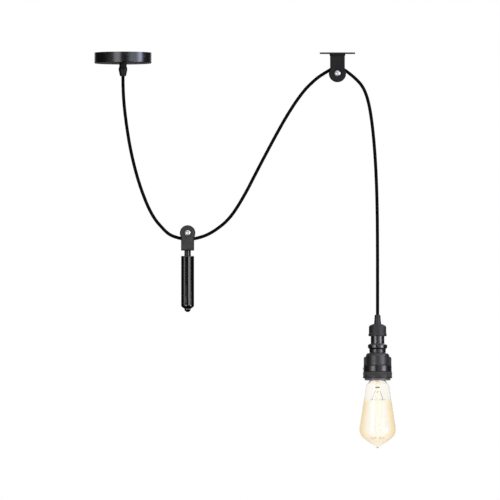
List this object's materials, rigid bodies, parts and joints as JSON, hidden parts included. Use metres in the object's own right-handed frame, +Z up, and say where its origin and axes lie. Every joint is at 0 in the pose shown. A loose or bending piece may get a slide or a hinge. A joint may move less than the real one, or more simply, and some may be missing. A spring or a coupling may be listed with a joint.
{
  "type": "rise and fall pendant lamp",
  "caption": "Rise-and-fall pendant lamp: cord from a round canopy under a counterweighted pulley and over a ceiling pulley to a pipe-style lampholder with a pear-shaped bulb.",
  "frame": {"origin": "centre of the canopy on the ceiling plane, between its two fixing slots", "axes": "+Z up to the ceiling, +X from the canopy towards the ceiling pulley, -Y towards the side that the picture shows"},
  "size_m": [0.5276, 0.1, 0.6928],
  "materials": {
    "canopy_black": "satin",
    "zinc_steel": "satin",
    "black_plastic": "matte",
    "grip_rubber": "matte",
    "terminal_plastic": "satin",
    "brass": "satin",
    "core_brown": "satin",
    "core_blue": "satin",
    "cord_black": "matte",
    "plate_black": "satin",
    "pulley_grey": "matte",
    "axle_chrome": "polished",
    "sheave_metal": "satin",
    "weight_black": "gloss",
    "lamp_black": "satin",
    "socket_plastic": "satin",
    "bulb_glass": "gloss",
    "filament": "satin"
  },
  "bodies": {
    "ceiling_fittings": {"canopy_cup": "canopy_black", "canopy_mounting_bar": "zinc_steel", "canopy_side_screws": "canopy_black", "canopy_grip_body": "black_plastic", "canopy_grip_nut": "black_plastic", "canopy_grip_collet": "grip_rubber", "canopy_grip_locknut": "black_plastic", "canopy_cord_end": "cord_black", "terminal_block": "terminal_plastic", "terminal_inserts": "brass", "terminal_screws": "brass", "terminal_fixing_screw": "zinc_steel", "canopy_core_live": "core_brown", "canopy_core_neutral": "core_blue", "pulley_plate": "plate_black", "pulley_plate_screws": "zinc_steel", "ceiling_block": "pulley_grey", "ceiling_axle_bolt": "axle_chrome", "ceiling_axle_nut": "zinc_steel", "ceiling_washers": "zinc_steel", "cord_canopy_to_weight": "cord_black", "cord_weight_to_ceiling": "cord_black", "cord_over_pulley": "cord_black", "cord_ceiling_to_lamp": "cord_black"},
    "ceiling_sheave": {"ceiling_sheave": "sheave_metal"},
    "weight_carriage": {"cord_under_weight": "cord_black"},
    "weight_sheave": {"weight_sheave": "sheave_metal"},
    "counterweight": {"weight_block": "pulley_grey", "weight_axle_bolt": "axle_chrome", "weight_axle_nut": "zinc_steel", "weight_washers": "zinc_steel", "weight_stud": "weight_black", "weight_cylinder": "weight_black", "weight_end_knob": "weight_black"},
    "lamp_line": {"cord_lamp_stretch": "cord_black"},
    "lamp": {"lamp_grip": "black_plastic", "lamp_grip_spigot": "zinc_steel", "lamp_grip_locknut": "zinc_steel", "lamp_cap": "lamp_black", "lamp_nipple": "lamp_black", "lamp_collar": "lamp_black", "lamp_cord_end": "cord_black", "lamp_shell": "lamp_black", "lamp_set_screw": "zinc_steel", "lamp_retaining_ring": "lamp_black", "socket_insulator": "socket_plastic", "socket_screw_shell": "brass", "socket_centre_contact": "brass", "socket_terminal_screws": "brass", "lamp_core_live": "core_brown", "lamp_core_neutral": "core_blue"},
    "bulb_thread": {"bulb_contact_tip": "brass"},
    "bulb": {"bulb_base_shell": "brass", "bulb_base_insulator": "socket_plastic", "bulb_envelope": "bulb_glass", "bulb_stem": "bulb_glass", "bulb_support_wires": "filament", "bulb_filament": "filament", "bulb_lead_wires": "filament"}
  },
  "joints": [
    {"name": "lamp_height", "type": "slide", "parent": "ceiling_fittings", "child": "lamp_line", "axis": [0, 0, 1], "range_m": [-0.15, 0.15], "deforming": ["cord_ceiling_to_lamp"]},
    {"name": "ceiling_sheave_spin", "type": "hinge", "parent": "ceiling_fittings", "child": "ceiling_sheave", "pos_m": [0.3755, 0, -0.0365], "axis": [0, 1, 0], "range_deg": [-720, 720]},
    {"name": "weight_height", "type": "slide", "parent": "ceiling_fittings", "child": "weight_carriage", "axis": [0, 0, 1], "range_m": [-0.09, 0.09], "deforming": ["cord_canopy_to_weight", "cord_weight_to_ceiling"]},
    {"name": "weight_sheave_spin", "type": "hinge", "parent": "weight_carriage", "child": "weight_sheave", "pos_m": [0.1132, 0, -0.316], "axis": [0, 1, 0], "range_deg": [-360, 360]},
    {"name": "weight_swing", "type": "hinge", "parent": "weight_carriage", "child": "counterweight", "pos_m": [0.1132, 0, -0.316], "axis": [0, 1, 0], "range_deg": [-25, 25]},
    {"name": "lamp_swing", "type": "hinge", "parent": "lamp_line", "child": "lamp", "pos_m": [0.4456, 0, -0.459], "axis": [0, 1, 0], "range_deg": [-20, 20], "deforming": ["cord_lamp_stretch"]},
    {"name": "bulb_out", "type": "slide", "parent": "lamp", "child": "bulb_thread", "axis": [0, 0, -1], "range_m": [0, 0.0146]},
    {"name": "bulb_turn", "type": "hinge", "parent": "bulb_thread", "child": "bulb", "pos_m": [0.4456, 0, -0.56], "axis": [0, 0, -1], "range_deg": [0, 1440]}
  ],
  "couplings": [
    {"joint": "weight_height", "follows": "lamp_height", "ratio": -0.6},
    {"joint": "ceiling_sheave_spin", "follows": "lamp_height", "rad_per_m": -83.333},
    {"joint": "weight_sheave_spin", "follows": "lamp_height", "rad_per_m": 41.667},
    {"joint": "bulb_out", "follows": "bulb_turn", "m_per_rad": 0.00057773}
  ]
}
